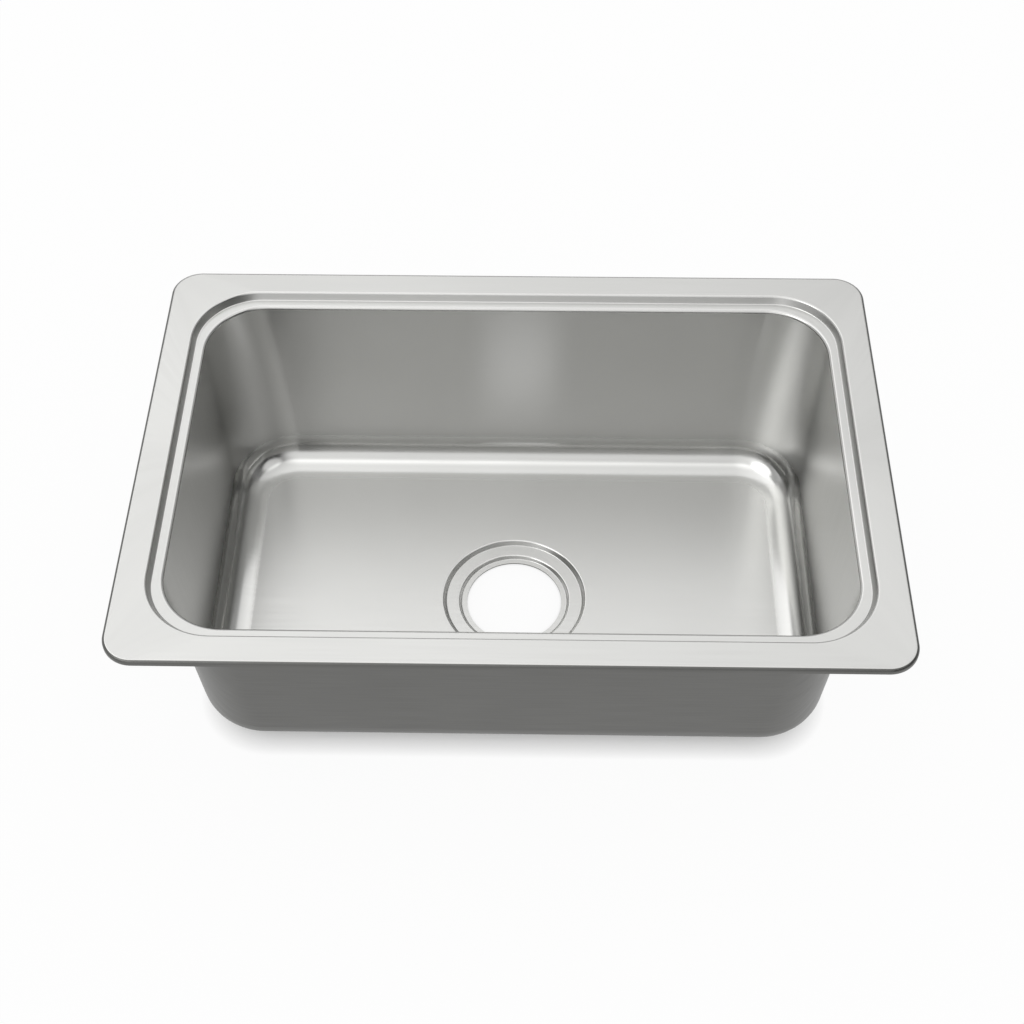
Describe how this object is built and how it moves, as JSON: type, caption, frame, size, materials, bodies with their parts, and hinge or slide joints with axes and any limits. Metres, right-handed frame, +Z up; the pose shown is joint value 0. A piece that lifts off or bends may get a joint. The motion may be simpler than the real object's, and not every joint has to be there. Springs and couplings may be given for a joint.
{
  "type": "kitchen sink",
  "caption": "Drop-in single-bowl kitchen sink of brushed stainless steel with a flat turned-down rim, a stepped ledge, a deep rounded bowl, an open drain seat and sliding hold-down clips.",
  "frame": {"origin": "centre of the footprint, at the underside of the drain seat on which the sink stands", "axes": "+X along the rim's long side, +Y from front to back, +Z up out of the bowl"},
  "size_m": [0.635, 0.432, 0.21],
  "materials": {
    "brushed_stainless_steel": "brushed inside and on the rim, dull mill finish outside",
    "galvanised_steel": "dull zinc spangle",
    "zinc_plated_steel": "bright zinc plate",
    "closed_cell_foam": "matte foam",
    "black_rubber": "matte rubber"
  },
  "bodies": {
    "sink": {"sink_pressing": "brushed_stainless_steel", "rim_seal": "closed_cell_foam", "sound_pad_left": "black_rubber", "sound_pad_right": "black_rubber", "rail_front_left": "galvanised_steel", "rail_front_right": "galvanised_steel", "rail_right": "galvanised_steel", "rail_rear_right": "galvanised_steel", "rail_rear_left": "galvanised_steel", "rail_left": "galvanised_steel"},
    "clip_front_left_bolt": {"clip_front_left_bolt": "zinc_plated_steel"},
    "clip_front_left_washer": {"clip_front_left_washer": "zinc_plated_steel"},
    "clip_front_left_arm": {"clip_front_left_arm": "galvanised_steel"},
    "clip_front_left_nut": {"clip_front_left_nut": "zinc_plated_steel"},
    "clip_front_right_bolt": {"clip_front_right_bolt": "zinc_plated_steel"},
    "clip_front_right_washer": {"clip_front_right_washer": "zinc_plated_steel"},
    "clip_front_right_arm": {"clip_front_right_arm": "galvanised_steel"},
    "clip_front_right_nut": {"clip_front_right_nut": "zinc_plated_steel"},
    "clip_right_front_bolt": {"clip_right_front_bolt": "zinc_plated_steel"},
    "clip_right_front_washer": {"clip_right_front_washer": "zinc_plated_steel"},
    "clip_right_front_arm": {"clip_right_front_arm": "galvanised_steel"},
    "clip_right_front_nut": {"clip_right_front_nut": "zinc_plated_steel"},
    "clip_right_rear_bolt": {"clip_right_rear_bolt": "zinc_plated_steel"},
    "clip_right_rear_washer": {"clip_right_rear_washer": "zinc_plated_steel"},
    "clip_right_rear_arm": {"clip_right_rear_arm": "galvanised_steel"},
    "clip_right_rear_nut": {"clip_right_rear_nut": "zinc_plated_steel"},
    "clip_rear_right_bolt": {"clip_rear_right_bolt": "zinc_plated_steel"},
    "clip_rear_right_washer": {"clip_rear_right_washer": "zinc_plated_steel"},
    "clip_rear_right_arm": {"clip_rear_right_arm": "galvanised_steel"},
    "clip_rear_right_nut": {"clip_rear_right_nut": "zinc_plated_steel"},
    "clip_rear_left_bolt": {"clip_rear_left_bolt": "zinc_plated_steel"},
    "clip_rear_left_washer": {"clip_rear_left_washer": "zinc_plated_steel"},
    "clip_rear_left_arm": {"clip_rear_left_arm": "galvanised_steel"},
    "clip_rear_left_nut": {"clip_rear_left_nut": "zinc_plated_steel"},
    "clip_left_rear_bolt": {"clip_left_rear_bolt": "zinc_plated_steel"},
    "clip_left_rear_washer": {"clip_left_rear_washer": "zinc_plated_steel"},
    "clip_left_rear_arm": {"clip_left_rear_arm": "galvanised_steel"},
    "clip_left_rear_nut": {"clip_left_rear_nut": "zinc_plated_steel"},
    "clip_left_front_bolt": {"clip_left_front_bolt": "zinc_plated_steel"},
    "clip_left_front_washer": {"clip_left_front_washer": "zinc_plated_steel"},
    "clip_left_front_arm": {"clip_left_front_arm": "galvanised_steel"},
    "clip_left_front_nut": {"clip_left_front_nut": "zinc_plated_steel"}
  },
  "joints": [
    {"name": "clip_front_left_slide", "type": "slide", "parent": "sink", "child": "clip_front_left_bolt", "axis": [1, 0, 0], "range_m": [-0.06, 0.06]},
    {"name": "clip_front_left_lift", "type": "slide", "parent": "clip_front_left_bolt", "child": "clip_front_left_washer", "axis": [0, 0, 1], "range_m": [-0.01163, 0]},
    {"name": "clip_front_left_swivel", "type": "hinge", "parent": "clip_front_left_washer", "child": "clip_front_left_arm", "pos_m": [-0.14, -0.1974, 0.1946], "axis": [0, 0, -1], "range_deg": [0, 180]},
    {"name": "clip_front_left_turn", "type": "hinge", "parent": "clip_front_left_washer", "child": "clip_front_left_nut", "pos_m": [-0.14, -0.1974, 0.1946], "axis": [0, 0, 1], "range_deg": [-3960, 0]},
    {"name": "clip_front_right_slide", "type": "slide", "parent": "sink", "child": "clip_front_right_bolt", "axis": [1, 0, 0], "range_m": [-0.06, 0.06]},
    {"name": "clip_front_right_lift", "type": "slide", "parent": "clip_front_right_bolt", "child": "clip_front_right_washer", "axis": [0, 0, 1], "range_m": [-0.01163, 0]},
    {"name": "clip_front_right_swivel", "type": "hinge", "parent": "clip_front_right_washer", "child": "clip_front_right_arm", "pos_m": [0.14, -0.1974, 0.1946], "axis": [0, 0, -1], "range_deg": [0, 180]},
    {"name": "clip_front_right_turn", "type": "hinge", "parent": "clip_front_right_washer", "child": "clip_front_right_nut", "pos_m": [0.14, -0.1974, 0.1946], "axis": [0, 0, 1], "range_deg": [-3960, 0]},
    {"name": "clip_right_front_slide", "type": "slide", "parent": "sink", "child": "clip_right_front_bolt", "axis": [0, 1, 0], "range_m": [-0.033, 0.033]},
    {"name": "clip_right_front_lift", "type": "slide", "parent": "clip_right_front_bolt", "child": "clip_right_front_washer", "axis": [0, 0, 1], "range_m": [-0.01163, 0]},
    {"name": "clip_right_front_swivel", "type": "hinge", "parent": "clip_right_front_washer", "child": "clip_right_front_arm", "pos_m": [0.2989, -0.08, 0.1946], "axis": [0, 0, -1], "range_deg": [0, 180]},
    {"name": "clip_right_front_turn", "type": "hinge", "parent": "clip_right_front_washer", "child": "clip_right_front_nut", "pos_m": [0.2989, -0.08, 0.1946], "axis": [0, 0, 1], "range_deg": [-3960, 0]},
    {"name": "clip_right_rear_slide", "type": "slide", "parent": "sink", "child": "clip_right_rear_bolt", "axis": [0, 1, 0], "range_m": [-0.033, 0.033]},
    {"name": "clip_right_rear_lift", "type": "slide", "parent": "clip_right_rear_bolt", "child": "clip_right_rear_washer", "axis": [0, 0, 1], "range_m": [-0.01163, 0]},
    {"name": "clip_right_rear_swivel", "type": "hinge", "parent": "clip_right_rear_washer", "child": "clip_right_rear_arm", "pos_m": [0.2989, 0.08, 0.1946], "axis": [0, 0, -1], "range_deg": [0, 180]},
    {"name": "clip_right_rear_turn", "type": "hinge", "parent": "clip_right_rear_washer", "child": "clip_right_rear_nut", "pos_m": [0.2989, 0.08, 0.1946], "axis": [0, 0, 1], "range_deg": [-3960, 0]},
    {"name": "clip_rear_right_slide", "type": "slide", "parent": "sink", "child": "clip_rear_right_bolt", "axis": [-1, 0, 0], "range_m": [-0.06, 0.06]},
    {"name": "clip_rear_right_lift", "type": "slide", "parent": "clip_rear_right_bolt", "child": "clip_rear_right_washer", "axis": [0, 0, 1], "range_m": [-0.01163, 0]},
    {"name": "clip_rear_right_swivel", "type": "hinge", "parent": "clip_rear_right_washer", "child": "clip_rear_right_arm", "pos_m": [0.14, 0.1974, 0.1946], "axis": [0, 0, -1], "range_deg": [0, 180]},
    {"name": "clip_rear_right_turn", "type": "hinge", "parent": "clip_rear_right_washer", "child": "clip_rear_right_nut", "pos_m": [0.14, 0.1974, 0.1946], "axis": [0, 0, 1], "range_deg": [-3960, 0]},
    {"name": "clip_rear_left_slide", "type": "slide", "parent": "sink", "child": "clip_rear_left_bolt", "axis": [-1, 0, 0], "range_m": [-0.06, 0.06]},
    {"name": "clip_rear_left_lift", "type": "slide", "parent": "clip_rear_left_bolt", "child": "clip_rear_left_washer", "axis": [0, 0, 1], "range_m": [-0.01163, 0]},
    {"name": "clip_rear_left_swivel", "type": "hinge", "parent": "clip_rear_left_washer", "child": "clip_rear_left_arm", "pos_m": [-0.14, 0.1974, 0.1946], "axis": [0, 0, -1], "range_deg": [0, 180]},
    {"name": "clip_rear_left_turn", "type": "hinge", "parent": "clip_rear_left_washer", "child": "clip_rear_left_nut", "pos_m": [-0.14, 0.1974, 0.1946], "axis": [0, 0, 1], "range_deg": [-3960, 0]},
    {"name": "clip_left_rear_slide", "type": "slide", "parent": "sink", "child": "clip_left_rear_bolt", "axis": [0, -1, 0], "range_m": [-0.033, 0.033]},
    {"name": "clip_left_rear_lift", "type": "slide", "parent": "clip_left_rear_bolt", "child": "clip_left_rear_washer", "axis": [0, 0, 1], "range_m": [-0.01163, 0]},
    {"name": "clip_left_rear_swivel", "type": "hinge", "parent": "clip_left_rear_washer", "child": "clip_left_rear_arm", "pos_m": [-0.2989, 0.08, 0.1946], "axis": [0, 0, -1], "range_deg": [0, 180]},
    {"name": "clip_left_rear_turn", "type": "hinge", "parent": "clip_left_rear_washer", "child": "clip_left_rear_nut", "pos_m": [-0.2989, 0.08, 0.1946], "axis": [0, 0, 1], "range_deg": [-3960, 0]},
    {"name": "clip_left_front_slide", "type": "slide", "parent": "sink", "child": "clip_left_front_bolt", "axis": [0, -1, 0], "range_m": [-0.033, 0.033]},
    {"name": "clip_left_front_lift", "type": "slide", "parent": "clip_left_front_bolt", "child": "clip_left_front_washer", "axis": [0, 0, 1], "range_m": [-0.01163, 0]},
    {"name": "clip_left_front_swivel", "type": "hinge", "parent": "clip_left_front_washer", "child": "clip_left_front_arm", "pos_m": [-0.2989, -0.08, 0.1946], "axis": [0, 0, -1], "range_deg": [0, 180]},
    {"name": "clip_left_front_turn", "type": "hinge", "parent": "clip_left_front_washer", "child": "clip_left_front_nut", "pos_m": [-0.2989, -0.08, 0.1946], "axis": [0, 0, 1], "range_deg": [-3960, 0]}
  ],
  "couplings": [
    {"joint": "clip_front_left_turn", "follows": "clip_front_left_lift", "rad_per_m": 5938.7},
    {"joint": "clip_front_right_turn", "follows": "clip_front_right_lift", "rad_per_m": 5938.7},
    {"joint": "clip_right_front_turn", "follows": "clip_right_front_lift", "rad_per_m": 5938.7},
    {"joint": "clip_right_rear_turn", "follows": "clip_right_rear_lift", "rad_per_m": 5938.7},
    {"joint": "clip_rear_right_turn", "follows": "clip_rear_right_lift", "rad_per_m": 5938.7},
    {"joint": "clip_rear_left_turn", "follows": "clip_rear_left_lift", "rad_per_m": 5938.7},
    {"joint": "clip_left_rear_turn", "follows": "clip_left_rear_lift", "rad_per_m": 5938.7},
    {"joint": "clip_left_front_turn", "follows": "clip_left_front_lift", "rad_per_m": 5938.7}
  ]
}
